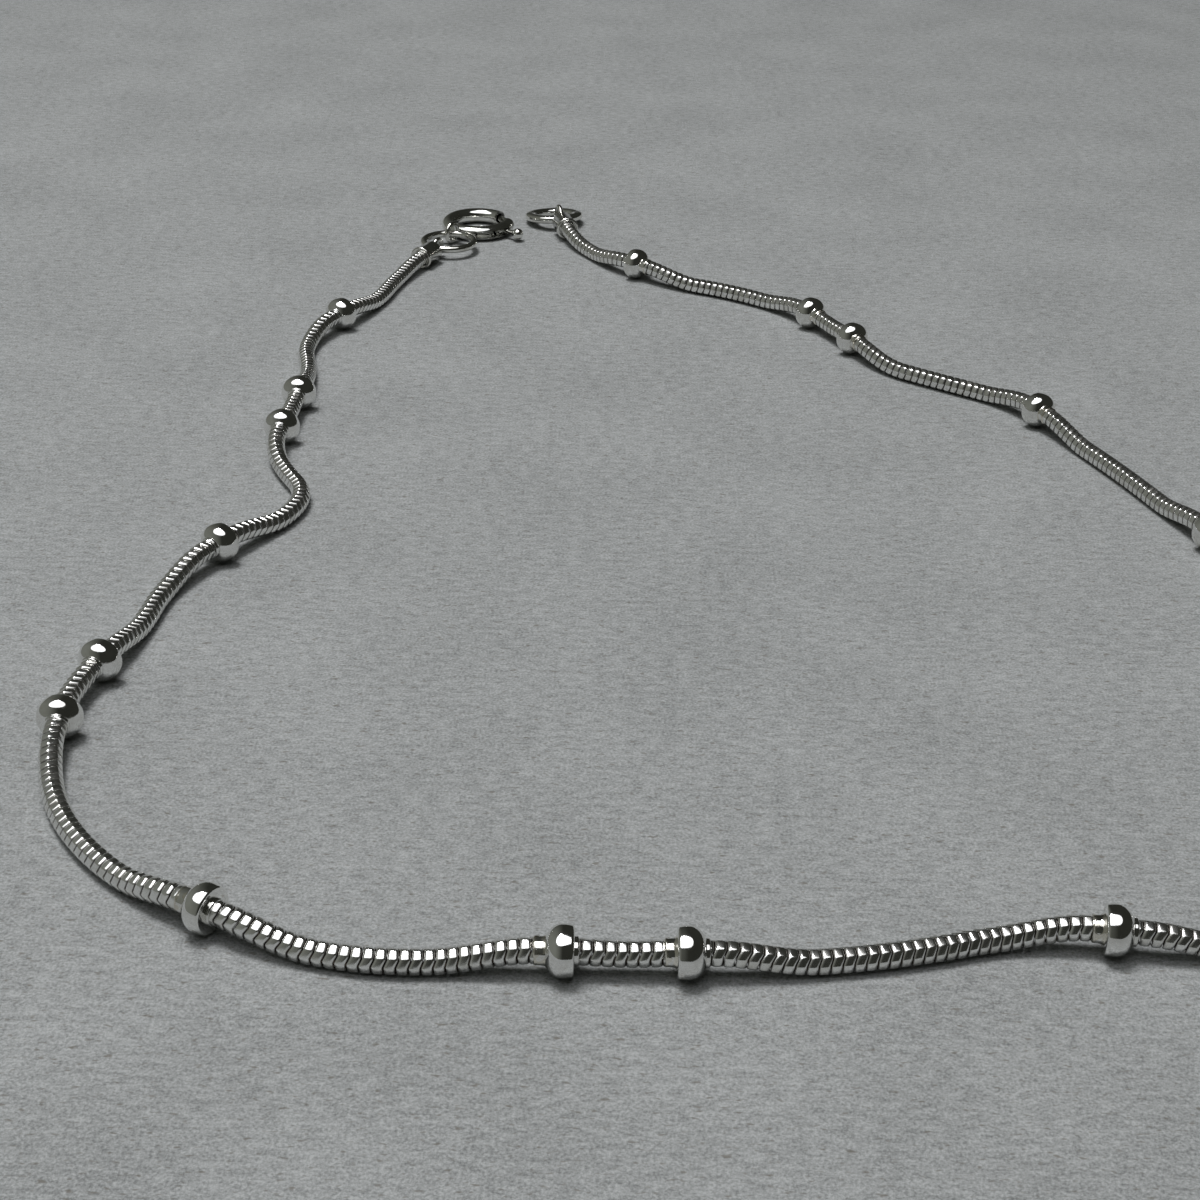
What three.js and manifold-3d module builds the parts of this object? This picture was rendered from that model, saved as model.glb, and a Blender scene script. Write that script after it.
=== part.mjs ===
// Snake chain anklet with fixed rondelle beads and a spring-ring clasp, lying open on a flat surface.
// Millimetres, +Z up; +X runs to the right and +Y away, with the clasp and the catch at the far side.
import * as THREE from "three";
import { mergeVertices } from "three/addons/utils/BufferGeometryUtils.js";
import Module from "manifold-3d";

const wasm = await Module();
wasm.setup();

// ---------------------------------------------------------------- driving dimensions

const CHAIN_RADIUS = 0.52;
const CHAIN_SIDES = 8;
const CHAIN_REST_HEIGHT = 0.52; // middle of the chain where it touches the surface
const CLIMB_LENGTH = 4.0; // chain that it takes to rise from the surface to a bead
const PAIR_SAG = 0.1; // how far the chain dips between the two beads of a pair
const SHORT_RUN = 8.0; // runs under this length are those inside a pair

const BEAD_RADIUS = 1.05;
const BEAD_BELLY = 0.09; // from the bead's middle to its widest section, towards the flat face
const BEAD_DOME = 0.79; // half axis of the dome's ellipse, along the chain
const BEAD_FLAT = 0.45; // from the widest section to the flat face
const BEAD_SIDES = 16;
const SLEEVE_RADIUS = 0.64;
const SLEEVE_BORE_RADIUS = 0.58;
const SLEEVE = { solder: 1.0, plain: 0.86 }; // its ends, from the bead's middle, clasp side first
// The beads whose dome looks back along the chain, towards the clasp. The others look on, away from it.
const DOMED_BACK = [7, 8, 12, 13, 14, 15, 16, 17, 18, 19];
const HALF_SEAT = 1.0; // straight chain kept on each side of a bead's middle

const CAP_RADIUS = 0.78;
const CAP_BORE_RADIUS = 0.6;
const CAP_SLEEVE = 1.7; // chain held inside a cap
const CAP_END = 0.45; // from the chain's end to the cap's closed end
const CAP_SIDES = 16;
const EYE_WIRE_RADIUS = 0.19;
// radius: to the middle of the eye's wire. reach: from the chain's end to the middle of the hole.
const CLASP_EYE = { radius: 0.61, reach: 0.95 };
const CATCH_EYE = { radius: 0.8, reach: 1.12 };

const JUMP_RADIUS = 1.85;
const JUMP_WIRE_RADIUS = 0.26;
const JUMP_HEIGHT = 0.74;
const JUMP_TURN = 20; // degrees from the cap's eye to the spring ring's eye, past straight across

const SPRING_RING_RADIUS = 2.2; // middle of the tube
const SPRING_TUBE_RADIUS = 0.55;
const SPRING_BORE_RADIUS = 0.36;
const SPRING_EYE = { radius: 0.66, reach: 3.5 }; // reach: from the ring's middle to the hole's
const SPRING_HEIGHT = 0.55;
const TUBE_SIDES = 12;
const MOUTH = { from: 0, to: 46 }; // degrees round the ring, from +X towards +Y
const SLOT = { from: -91, to: -26, width: 0.5 };
const SPRING_EYE_ANGLE = -120;

const BOLT_WIRE_RADIUS = 0.25;
const BOLT = { tail: -46, tip: 51 };
const LUG_ANGLE = -34;
const LUG_STEM_RADIUS = 0.19;
const LUG_KNOB_RADIUS = 0.42;
const LUG_REACH = 3.75; // from the ring's middle to the middle of the knob

const CATCH_RADIUS = 1.75; // middle of the flat ring's band
const CATCH_HALF_WIDTH = 0.45;
const CATCH_HALF_THICKNESS = 0.3;
const CATCH_SIDES = 32;
const CATCH_NEAR_LIFT = 0.5; // the side that lies in the end cap's eye is raised by this

// ---------------------------------------------------------------- the chain's route

const START = { x: -22.29, y: 35.64, heading: -113 };

// A row for each stretch of chain. to: what stands at its end. run: its length, from middle to middle.
// turns: the equal arcs it is made of, in degrees, left positive. steps: how many the tube takes there.
const ROUTE = [
  { to: "bead_01", run: 15.0, turns: [13, -19], steps: 3 },
  { to: "bead_02", run: 14.25, turns: [42, -16], steps: 4 },
  { to: "bead_03", run: 5.25, turns: [0], steps: 1 },
  { to: "bead_04", run: 16.75, turns: [26, 6, -40, -24, 4], steps: 7 },
  { to: "bead_05", run: 13.25, turns: [27, -12], steps: 4 },
  { to: "bead_06", run: 5.25, turns: [19], steps: 1 },
  { to: "bead_07", run: 17.25, turns: [21, 19, 18], steps: 5 },
  { to: "bead_08", run: 14.5, turns: [15, 18, -3], steps: 4 },
  { to: "bead_09", run: 5.0, turns: [0], steps: 1 },
  { to: "bead_10", run: 17.0, turns: [9, 8, -24], steps: 4 },
  { to: "bead_11", run: 15.25, turns: [8, 17], steps: 3 },
  { to: "bead_12", run: 5.0, turns: [29], steps: 1 },
  { to: "bead_13", run: 15.25, turns: [33, 28], steps: 4 },
  { to: "bead_14", run: 15.25, turns: [13, -2], steps: 3 },
  { to: "bead_15", run: 5.0, turns: [-10], steps: 1 },
  { to: "bead_16", run: 17.75, turns: [-1, 4, 2], steps: 3 },
  { to: "bead_17", run: 15.75, turns: [31, -2, -31], steps: 4 },
  { to: "bead_18", run: 5.25, turns: [8], steps: 1 },
  { to: "bead_19", run: 15.25, turns: [22, 14, -17], steps: 4 },
  { to: "catch_end_cap", run: 11.25, turns: [-20, 3, -18], steps: 3 },
];

const radians = THREE.MathUtils.degToRad;

function onCircle(centre, radius, angle) {
  return new THREE.Vector2(centre.x + radius * Math.cos(angle), centre.y + radius * Math.sin(angle));
}

// An upright eye stands on the surface, and its end cap is level with its middle.
function eyeHeight(eye) {
  return eye.radius + EYE_WIRE_RADIUS;
}

// Straight stretches and arcs, laid end to end: each knows where along the chain it starts.
function layOut(route) {
  const pieces = [];
  const stops = [];
  let along = 0;
  let point = new THREE.Vector2(START.x, START.y);
  let heading = radians(START.heading);
  const add = (length, turn) => {
    const piece = { along, length, turn, point, heading };
    pieces.push(piece);
    const end = placeOn(piece, length);
    along += length;
    point = end.point;
    heading = end.heading;
  };
  add(CAP_SLEEVE, 0);
  route.forEach((row, index) => {
    const last = index === route.length - 1;
    const before = index === 0 ? CAP_SLEEVE : HALF_SEAT;
    const after = last ? CAP_SLEEVE : HALF_SEAT;
    const free = row.run - before - after;
    row.turns.forEach((turn) => add(free / row.turns.length, radians(turn)));
    add(after, 0);
    stops.push({ name: row.to, along, point, heading });
    if (!last) {
      add(HALF_SEAT, 0);
    }
  });
  return { pieces, stops, length: along };
}

function placeOn(piece, distance) {
  const heading = piece.heading + (piece.turn * distance) / piece.length;
  if (Math.abs(piece.turn) < 1e-6) {
    return { point: onCircle(piece.point, distance, piece.heading), heading };
  }
  const radius = piece.length / piece.turn;
  const centre = onCircle(piece.point, radius, piece.heading + Math.PI / 2);
  return { point: onCircle(centre, radius, heading - Math.PI / 2), heading };
}

const layout = layOut(ROUTE);
const beadStops = layout.stops.slice(0, -1);

// The chain lies on the surface, rises to each bead and stays up between the two beads of a pair.
function heightAt(along) {
  const seats = [
    { along: CAP_SLEEVE - HALF_SEAT, height: eyeHeight(CLASP_EYE) },
    ...beadStops.map((stop) => ({ along: stop.along, height: BEAD_RADIUS })),
    { along: layout.length - CAP_SLEEVE + HALF_SEAT, height: eyeHeight(CATCH_EYE) },
  ];
  const next = seats.findIndex((seat) => seat.along >= along);
  const after = next < 0 ? seats.at(-1) : seats[next];
  const before = next < 1 ? after : seats[next - 1];
  const run = after.along - before.along;
  if (run > 0 && run < SHORT_RUN) {
    return BEAD_RADIUS - PAIR_SAG * Math.sin((Math.PI * (along - before.along)) / run) ** 2;
  }
  const nearer = along - before.along < after.along - along ? before : after;
  const gone = (Math.abs(along - nearer.along) - HALF_SEAT) / CLIMB_LENGTH;
  return THREE.MathUtils.lerp(nearer.height, CHAIN_REST_HEIGHT, THREE.MathUtils.smoothstep(gone, 0, 1));
}

function stationAt(along) {
  const piece = layout.pieces.findLast((candidate) => candidate.along <= along + 1e-9);
  const place = placeOn(piece, along - piece.along);
  const rise = (heightAt(along + 0.05) - heightAt(along - 0.05)) / 0.1;
  const direction = new THREE.Vector3(Math.cos(place.heading), Math.sin(place.heading), rise);
  return {
    position: new THREE.Vector3(place.point.x, place.point.y, heightAt(along)),
    direction: direction.normalize(),
  };
}

// Where the chain's tube has its sections: both ends of each seat, and equal steps between seats.
function chainStations() {
  const marks = [0];
  let from = CAP_SLEEVE;
  ROUTE.forEach((row, index) => {
    const last = index === ROUTE.length - 1;
    const stop = layout.stops[index].along;
    const to = stop - (last ? CAP_SLEEVE : HALF_SEAT);
    for (let step = 0; step <= row.steps; step += 1) {
      marks.push(THREE.MathUtils.lerp(from, to, step / row.steps));
    }
    from = stop + HALF_SEAT;
  });
  marks.push(layout.length);
  return marks.map(stationAt);
}

// ---------------------------------------------------------------- shape helpers

// A path through given stations, one for each step of an extrusion.
class StationPath extends THREE.Curve {
  constructor(stations) {
    super();
    this.stations = stations;
  }

  getPoint(t) {
    return this.stations[Math.round(t * (this.stations.length - 1))].position.clone();
  }

  getPointAt(u) {
    return this.getPoint(u);
  }

  getTangentAt(u) {
    return this.stations[Math.round(u * (this.stations.length - 1))].direction.clone();
  }
}

function polygon(radius, sides) {
  const corners = [];
  for (let side = 0; side < sides; side += 1) {
    corners.push(onCircle({ x: 0, y: 0 }, radius, (2 * Math.PI * (side + 0.5)) / sides));
  }
  return corners;
}

function tube(stations, radius, sides, boreRadius = 0) {
  const section = new THREE.Shape(polygon(radius, sides));
  if (boreRadius > 0) {
    section.holes.push(new THREE.Path(polygon(boreRadius, sides).reverse()));
  }
  return new THREE.ExtrudeGeometry(section, {
    steps: stations.length - 1,
    extrudePath: new StationPath(stations),
  });
}

// Stations on a circle round Z, between two angles in degrees.
function arcStations(radius, from, to, steps) {
  const stations = [];
  for (let step = 0; step <= steps; step += 1) {
    const angle = radians(THREE.MathUtils.lerp(from, to, step / steps));
    const place = onCircle({ x: 0, y: 0 }, radius, angle);
    stations.push({
      position: new THREE.Vector3(place.x, place.y, 0),
      direction: new THREE.Vector3(-Math.sin(angle), Math.cos(angle), 0),
    });
  }
  return stations;
}

// A turned solid about X: profile rows are [along X, radius], and a flat facet faces down and up.
function turned(profile, sides) {
  const growth = 1 / Math.cos(Math.PI / sides);
  const points = profile.map(([along, radius]) => new THREE.Vector2(radius * growth, along));
  const geometry = new THREE.LatheGeometry(points, sides, Math.PI / sides);
  return geometry.rotateZ(-Math.PI / 2);
}

function solidOf(geometry) {
  const bare = geometry.clone();
  bare.deleteAttribute("normal");
  bare.deleteAttribute("uv");
  const merged = mergeVertices(bare, 1e-4);
  return new wasm.Manifold(
    new wasm.Mesh({
      numProp: 3,
      vertProperties: new Float32Array(merged.attributes.position.array),
      triVerts: new Uint32Array(merged.index.array),
    }),
  );
}

function geometryOf(solid) {
  const mesh = solid.getMesh();
  const geometry = new THREE.BufferGeometry();
  geometry.setAttribute("position", new THREE.BufferAttribute(mesh.vertProperties, 3));
  geometry.setIndex(new THREE.BufferAttribute(mesh.triVerts, 1));
  geometry.computeVertexNormals();
  return geometry;
}

function piece(name, geometry, finish) {
  const material = new THREE.MeshStandardMaterial({ metalness: 1, ...finish });
  const mesh = new THREE.Mesh(geometry, material);
  mesh.name = name;
  return mesh;
}

const CHAIN_SILVER = { color: 0xc9c9c4, roughness: 0.2 };
const BEAD_SILVER = { color: 0xd6d6d2, roughness: 0.08 };
const CLASP_SILVER = { color: 0xcfcfca, roughness: 0.12 };

// ---------------------------------------------------------------- the pieces

function makeChain() {
  return piece("snake_chain", tube(chainStations(), CHAIN_RADIUS, CHAIN_SIDES), CHAIN_SILVER);
}

// Half the outline of a rondelle, domed on its -X side and flat on the other: rows of [along, radius].
function beadOutline() {
  const outline = [38, 52, 69, 90].map((angle) => {
    const turn = radians(angle);
    return [BEAD_BELLY - BEAD_DOME * Math.cos(turn), BEAD_RADIUS * Math.sin(turn)];
  });
  const face = BEAD_BELLY + BEAD_FLAT;
  return [
    ...outline,
    [BEAD_BELLY + 0.14, BEAD_RADIUS],
    [face - 0.09, 0.965 * BEAD_RADIUS],
    [face, 0.86 * BEAD_RADIUS],
    [face, SLEEVE_RADIUS],
  ];
}

// A rondelle on the short sleeve that it is soldered by. The solder's end is on the -X side.
function makeBead(name, domed) {
  const outline = beadOutline();
  const body = domed ? outline : outline.map(([along, radius]) => [-along, radius]).reverse();
  const profile = [
    [-SLEEVE.solder, SLEEVE_BORE_RADIUS],
    [-SLEEVE.solder, SLEEVE_RADIUS],
    ...body,
    [SLEEVE.plain, SLEEVE_RADIUS],
    [SLEEVE.plain, SLEEVE_BORE_RADIUS],
    [-SLEEVE.solder, SLEEVE_BORE_RADIUS],
  ];
  return piece(name, turned(profile, BEAD_SIDES), BEAD_SILVER);
}

// An upright ring of wire whose hole's middle is at eye.reach along X.
function makeEye(eye, lift = 0) {
  const ring = new THREE.TorusGeometry(eye.radius, EYE_WIRE_RADIUS, 8, 20);
  return solidOf(ring.rotateX(Math.PI / 2).translate(eye.reach, 0, lift));
}

// A ferrule over the chain's end, which is at x = 0, with an upright eye soldered to its closed end.
function makeEndCap(name, eye) {
  const profile = [
    [-CAP_SLEEVE, CAP_BORE_RADIUS],
    [-CAP_SLEEVE, CAP_RADIUS],
    [CAP_END - 0.15, CAP_RADIUS],
    [CAP_END, CAP_RADIUS - 0.25],
    [CAP_END, 0],
    [0.1, 0],
    [0.1, CAP_BORE_RADIUS],
    [-CAP_SLEEVE, CAP_BORE_RADIUS],
  ];
  const ferrule = solidOf(turned(profile, CAP_SIDES));
  return piece(name, geometryOf(ferrule.add(makeEye(eye))), CLASP_SILVER);
}

function makeJumpRing() {
  const ring = new THREE.TorusGeometry(JUMP_RADIUS, JUMP_WIRE_RADIUS, 8, 28);
  return piece("clasp_jump_ring", ring, CLASP_SILVER);
}

// The hollow ring: a bent tube open at its mouth, slotted along the outside for the lug's stem.
function makeSpringRing() {
  const bend = arcStations(SPRING_RING_RADIUS, MOUTH.to, MOUTH.from + 360, 42);
  const shell = solidOf(tube(bend, SPRING_TUBE_RADIUS, TUBE_SIDES, SPRING_BORE_RADIUS));
  const lift = eyeHeight(SPRING_EYE) - SPRING_HEIGHT;
  const soldered = makeEye(SPRING_EYE, lift).rotate([0, 0, SPRING_EYE_ANGLE]);
  const outside = SPRING_RING_RADIUS + SPRING_TUBE_RADIUS;
  const slotLine = arcStations(outside, SLOT.from, SLOT.to, 10);
  // On a path round Z, a section's x runs up and down and its y in and out.
  const slotSection = new THREE.Shape([
    new THREE.Vector2(-SLOT.width / 2, -SPRING_TUBE_RADIUS),
    new THREE.Vector2(SLOT.width / 2, -SPRING_TUBE_RADIUS),
    new THREE.Vector2(SLOT.width / 2, SPRING_TUBE_RADIUS),
    new THREE.Vector2(-SLOT.width / 2, SPRING_TUBE_RADIUS),
  ]);
  const slot = new THREE.ExtrudeGeometry(slotSection, {
    steps: slotLine.length - 1,
    extrudePath: new StationPath(slotLine),
  });
  const ring = shell.add(soldered).subtract(solidOf(slot));
  return piece("spring_ring", geometryOf(ring), CLASP_SILVER);
}

// The curved wire that closes the mouth, with the thumb lug's stem and knob soldered to it.
function makeBolt() {
  const wire = solidOf(tube(arcStations(SPRING_RING_RADIUS, BOLT.tail, BOLT.tip, 16), BOLT_WIRE_RADIUS, 8));
  const knobBack = LUG_REACH - LUG_KNOB_RADIUS;
  const profile = [
    [SPRING_RING_RADIUS, 0],
    [SPRING_RING_RADIUS, LUG_STEM_RADIUS],
    [knobBack, LUG_STEM_RADIUS],
    [knobBack + 0.12, 0.75 * LUG_KNOB_RADIUS],
    [LUG_REACH, LUG_KNOB_RADIUS],
    [LUG_REACH + 0.28, 0.75 * LUG_KNOB_RADIUS],
    [LUG_REACH + LUG_KNOB_RADIUS, 0],
  ];
  const lug = solidOf(turned(profile, 10)).rotate([0, 0, LUG_ANGLE]);
  return piece("clasp_bolt", geometryOf(wire.add(lug)), CLASP_SILVER);
}

// A flat soldered ring with rounded edges: its top and underside are flat bands.
function makeCatchRing() {
  const flat = 0.45 * CATCH_HALF_WIDTH;
  const side = 0.4 * CATCH_HALF_THICKNESS;
  const profile = [
    [-CATCH_HALF_WIDTH, -side],
    [-flat, -CATCH_HALF_THICKNESS],
    [flat, -CATCH_HALF_THICKNESS],
    [CATCH_HALF_WIDTH, -side],
    [CATCH_HALF_WIDTH, side],
    [flat, CATCH_HALF_THICKNESS],
    [-flat, CATCH_HALF_THICKNESS],
    [-CATCH_HALF_WIDTH, side],
    [-CATCH_HALF_WIDTH, -side],
  ];
  const points = profile.map(([out, up]) => new THREE.Vector2(CATCH_RADIUS + out, up));
  const geometry = new THREE.LatheGeometry(points, CATCH_SIDES).rotateX(Math.PI / 2);
  return piece("catch_ring", geometry, CLASP_SILVER);
}

// ---------------------------------------------------------------- the anklet, laid out

const anklet = new THREE.Group();

anklet.add(makeChain());

beadStops.forEach((stop, index) => {
  const bead = makeBead(stop.name, DOMED_BACK.includes(index + 1));
  bead.position.set(stop.point.x, stop.point.y, BEAD_RADIUS);
  bead.rotation.z = stop.heading;
  anklet.add(bead);
});

// The clasp's end: end cap, jump ring and spring ring, hooked one into the next.
const claspWay = radians(START.heading + 180);
const claspCap = makeEndCap("clasp_end_cap", CLASP_EYE);
claspCap.position.set(START.x, START.y, eyeHeight(CLASP_EYE));
claspCap.rotation.z = claspWay;
anklet.add(claspCap);

const claspEye = onCircle(START, CLASP_EYE.reach, claspWay);
const jumpMiddle = onCircle(claspEye, JUMP_RADIUS, claspWay);
const jumpRing = makeJumpRing();
jumpRing.position.set(jumpMiddle.x, jumpMiddle.y, JUMP_HEIGHT);
anklet.add(jumpRing);

const springEye = onCircle(jumpMiddle, JUMP_RADIUS, claspWay + radians(JUMP_TURN));
const springMiddle = onCircle(springEye, SPRING_EYE.reach, radians(SPRING_EYE_ANGLE + 180));
const springRing = makeSpringRing();
const bolt = makeBolt();
const springPlace = new THREE.Group();
springPlace.position.set(springMiddle.x, springMiddle.y, SPRING_HEIGHT);
springPlace.add(springRing, bolt);
anklet.add(springPlace);

// The catch's end: end cap and flat ring, which leans because its near side lies in the cap's eye.
const catchEnd = layout.stops.at(-1);
const catchCap = makeEndCap("catch_end_cap", CATCH_EYE);
catchCap.position.set(catchEnd.point.x, catchEnd.point.y, eyeHeight(CATCH_EYE));
catchCap.rotation.z = catchEnd.heading;
anklet.add(catchCap);

const catchEye = onCircle(catchEnd.point, CATCH_EYE.reach, catchEnd.heading);
const catchMiddle = onCircle(catchEye, CATCH_RADIUS, catchEnd.heading);
const catchLean = Math.asin(CATCH_NEAR_LIFT / (2 * CATCH_RADIUS));
const catchPlace = new THREE.Group();
catchPlace.position.set(catchMiddle.x, catchMiddle.y, CATCH_HALF_THICKNESS + CATCH_NEAR_LIFT / 2 + 0.03);
catchPlace.rotation.z = catchEnd.heading;
const catchRing = makeCatchRing();
catchRing.rotation.y = catchLean;
catchPlace.add(catchRing);
anklet.add(catchPlace);

export default anklet;
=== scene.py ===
# %% [markdown]
# # A silver snake chain anklet
# This lesson dresses a finished CAD model of an anklet: a snake chain of hundreds of nested links,
# nineteen drilled rondelle beads soldered along it, and a spring-ring clasp with its catch ring.
# The CAD solids already stand in their places, so every piece here is made in the same frame, in
# metres, and takes the place of one solid.

import math
import random
import bpy
from mathutils import Matrix, Vector


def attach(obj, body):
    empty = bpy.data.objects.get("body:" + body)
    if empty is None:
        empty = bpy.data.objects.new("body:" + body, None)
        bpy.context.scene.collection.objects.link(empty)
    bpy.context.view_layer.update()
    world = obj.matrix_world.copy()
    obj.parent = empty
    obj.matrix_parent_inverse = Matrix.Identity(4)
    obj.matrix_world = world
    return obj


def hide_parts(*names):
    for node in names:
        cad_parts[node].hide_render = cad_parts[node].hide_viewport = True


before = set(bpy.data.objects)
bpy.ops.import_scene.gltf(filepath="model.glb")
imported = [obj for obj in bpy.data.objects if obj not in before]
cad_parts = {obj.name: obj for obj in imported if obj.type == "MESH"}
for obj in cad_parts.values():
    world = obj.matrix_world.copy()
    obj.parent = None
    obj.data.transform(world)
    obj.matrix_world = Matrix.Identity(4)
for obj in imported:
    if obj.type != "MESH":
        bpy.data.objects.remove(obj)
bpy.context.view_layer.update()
MM = 0.001
print("CAD nodes:", len(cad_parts))


def select_none():
    """Nothing selected and nothing being edited, so that an operator acts on the new piece alone."""
    if bpy.context.object and bpy.context.object.mode != "OBJECT":
        bpy.ops.object.mode_set(mode="OBJECT")
    bpy.ops.object.select_all(action="DESELECT")


def select_only(*pieces):
    select_none()
    for piece in pieces:
        piece.select_set(True)
    bpy.context.view_layer.objects.active = pieces[0]


select_none()

# %% [markdown]
# ## Camera
# The anklet is seen from its front edge, looking down at it by 28 degrees, so that the near chain is
# large and the clasp at the far side is small. A short distance and a 63 mm lens give that strong
# perspective. Its place, its angles and its lens came out of a separate fitting program and were then
# rounded. The camera is placed by a matrix, because a slight roll about its own line of sight is
# easiest to give there.

# %% The camera
CAMERA_PLACE = Vector((-9.34, -111.16, 50.5)) * MM
CAMERA_DIP = 28.0
CAMERA_ROLL = 1.5
CAMERA_LENS = 63.0

camera = bpy.data.objects.new("camera", bpy.data.cameras.new("camera"))
bpy.context.scene.collection.objects.link(camera)
camera.data.lens = CAMERA_LENS
camera.data.sensor_width = 36.0
camera.data.clip_start = 0.001
camera.matrix_world = (
    Matrix.Translation(CAMERA_PLACE)
    @ Matrix.Rotation(math.radians(90.0 - CAMERA_DIP), 4, "X")
    @ Matrix.Rotation(math.radians(CAMERA_ROLL), 4, "Z")
)
bpy.context.scene.camera = camera
print("camera at", [round(c / MM, 1) for c in camera.location], "mm")

# %% [markdown]
# ## Nodes in one line
# A material is a small graph. One helper adds a node with its settings and its inputs, where an
# input is either a plain value or another node's output. Colours are given as the hex codes of a
# paint chart, which are sRGB, and Blender wants linear light, so one function converts them.

# %% Helpers for materials
def linear(hex_colour):
    """An sRGB hex colour, such as C0C0C0, as linear red, green, blue and alpha."""
    parts = [int(hex_colour[k : k + 2], 16) / 255.0 for k in (0, 2, 4)]
    curve = [p / 12.92 if p <= 0.04045 else ((p + 0.055) / 1.055) ** 2.4 for p in parts]
    return (*curve, 1.0)


def add_node(tree, kind, inputs=None, **settings):
    """Adds one node. inputs gives, by socket, a value or the output that feeds it."""
    new = tree.nodes.new(kind)
    for name, value in settings.items():
        setattr(new, name, value)
    for socket, value in (inputs or {}).items():
        if isinstance(value, bpy.types.NodeSocket):
            tree.links.new(value, new.inputs[socket])
        else:
            new.inputs[socket].default_value = value
    return new


def new_material(name):
    """An empty node material, and its node tree."""
    material = bpy.data.materials.new(name)
    material.use_nodes = True
    material.node_tree.nodes.clear()
    return material, material.node_tree


# %% [markdown]
# ## Floor
# The anklet lies on a pale grey matt card. Card is a dry surface of pressed fibres that mostly lie
# one way: no gloss, faint mottling, streaks under a millimetre long and a few tenths wide, and a few
# small dark flecks. A plane as large as a table top is enough, pushed down a hair's breadth so that
# metal which touches it does not flicker with it.

# %% The card it lies on
CARD_GRAIN = 0.13 * MM
CARD_MOTTLE = 9.0 * MM
FIBRE_LENGTH = 0.8 * MM
FIBRE_WIDTH = 0.35 * MM
FIBRE_SHARE = 0.6
MOTTLE_SHARE = 0.2
TONE_RANGE = (0.64, 1.11)
FLECK_RANGE = (0.63, 0.75)
FLECK_STRENGTH = 0.7
CARD_RELIEF = 0.03 * MM
CARD_SIZE = 6.0
CARD_DROP = 0.01 * MM


def pale_card():
    """Pale card whose tone follows its fibres, its grain and its mottling, with dark flecks."""
    material, tree = new_material("pale_card_matt")
    place = add_node(tree, "ShaderNodeTexCoord").outputs["Object"]
    along_fibres = add_node(
        tree,
        "ShaderNodeVectorMath",
        {0: place, 1: (1 / FIBRE_LENGTH, 1 / FIBRE_WIDTH, 1.0)},
        operation="MULTIPLY",
    )
    fibre = add_node(
        tree,
        "ShaderNodeTexNoise",
        {"Vector": along_fibres.outputs[0], "Scale": 1.0, "Detail": 4.0, "Roughness": 0.6},
    )
    grain = add_node(
        tree,
        "ShaderNodeTexNoise",
        {"Vector": place, "Scale": 1 / CARD_GRAIN, "Detail": 2.0, "Roughness": 0.7},
    )
    mottle = add_node(
        tree,
        "ShaderNodeTexNoise",
        {"Vector": place, "Scale": 1 / CARD_MOTTLE, "Detail": 3.0, "Roughness": 0.5},
    )
    tooth = add_node(
        tree,
        "ShaderNodeMath",
        {0: fibre.outputs["Fac"], 1: FIBRE_SHARE, 2: grain.outputs["Fac"]},
        operation="MULTIPLY_ADD",
    )
    blend = add_node(
        tree,
        "ShaderNodeMath",
        {0: mottle.outputs["Fac"], 1: MOTTLE_SHARE, 2: tooth.outputs[0]},
        operation="MULTIPLY_ADD",
    )
    fleck = add_node(
        tree,
        "ShaderNodeTexNoise",
        {"Vector": along_fibres.outputs[0], "Scale": 1.7, "Detail": 1.0},
    )
    fleck_mask = add_node(
        tree,
        "ShaderNodeMapRange",
        {
            "Value": fleck.outputs["Fac"],
            "From Min": FLECK_RANGE[0],
            "From Max": FLECK_RANGE[1],
            "To Max": FLECK_STRENGTH,
        },
    )
    spread = add_node(
        tree,
        "ShaderNodeMapRange",
        {"Value": blend.outputs[0], "From Min": TONE_RANGE[0], "From Max": TONE_RANGE[1]},
    )
    ramp = add_node(tree, "ShaderNodeValToRGB", {"Fac": spread.outputs["Result"]})
    ramp.color_ramp.elements[0].color = linear("676968")
    ramp.color_ramp.elements[1].color = linear("9D9F9E")
    tint = add_node(
        tree,
        "ShaderNodeMix",
        {0: fleck_mask.outputs["Result"], 6: ramp.outputs["Color"], 7: linear("5E5A52")},
        data_type="RGBA",
    )
    relief = add_node(
        tree,
        "ShaderNodeBump",
        {"Height": tooth.outputs[0], "Distance": CARD_RELIEF, "Strength": 0.5},
    )
    surface = add_node(
        tree,
        "ShaderNodeBsdfPrincipled",
        {
            "Base Color": tint.outputs[2],
            "Roughness": 0.9,
            "Normal": relief.outputs["Normal"],
        },
    )
    surface.inputs["Specular IOR Level"].default_value = 0.2
    add_node(tree, "ShaderNodeOutputMaterial", {"Surface": surface.outputs["BSDF"]})
    return material


bpy.ops.mesh.primitive_plane_add(size=CARD_SIZE, location=(0, 0, -CARD_DROP))
card = bpy.context.object
card.name = "floor_card"
bpy.ops.object.transform_apply(location=True, rotation=True, scale=True)
card.data.materials.append(pale_card())
print("floor", card.dimensions[:])

# %% [markdown]
# ## Light
# Polished silver shows its surroundings more than itself. A broad oval soft box almost overhead gives
# each dome one clean white reflection. A smaller lamp hangs just under it and within its outline, so
# it gives the shadows an edge without adding a second reflection. The pale card fills the undersides,
# and a nearly black room, a little lighter to the left, gives the dark bands that make the metal look
# like metal.

# %% Soft box, lamp and dark room
BOX_PLACE = Vector((-144.0, -130.0, 562.0)) * MM
LAMP_PLACE = Vector((-117.0, 60.0, 550.0)) * MM
LAMP_AIM = Vector((-9.0, -40.0, 0.0)) * MM
BOX_SIZE = (780.0, 570.0)
LAMP_SIZE = (200.0, 200.0)
LIGHTEST_WALL = -0.8


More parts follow.
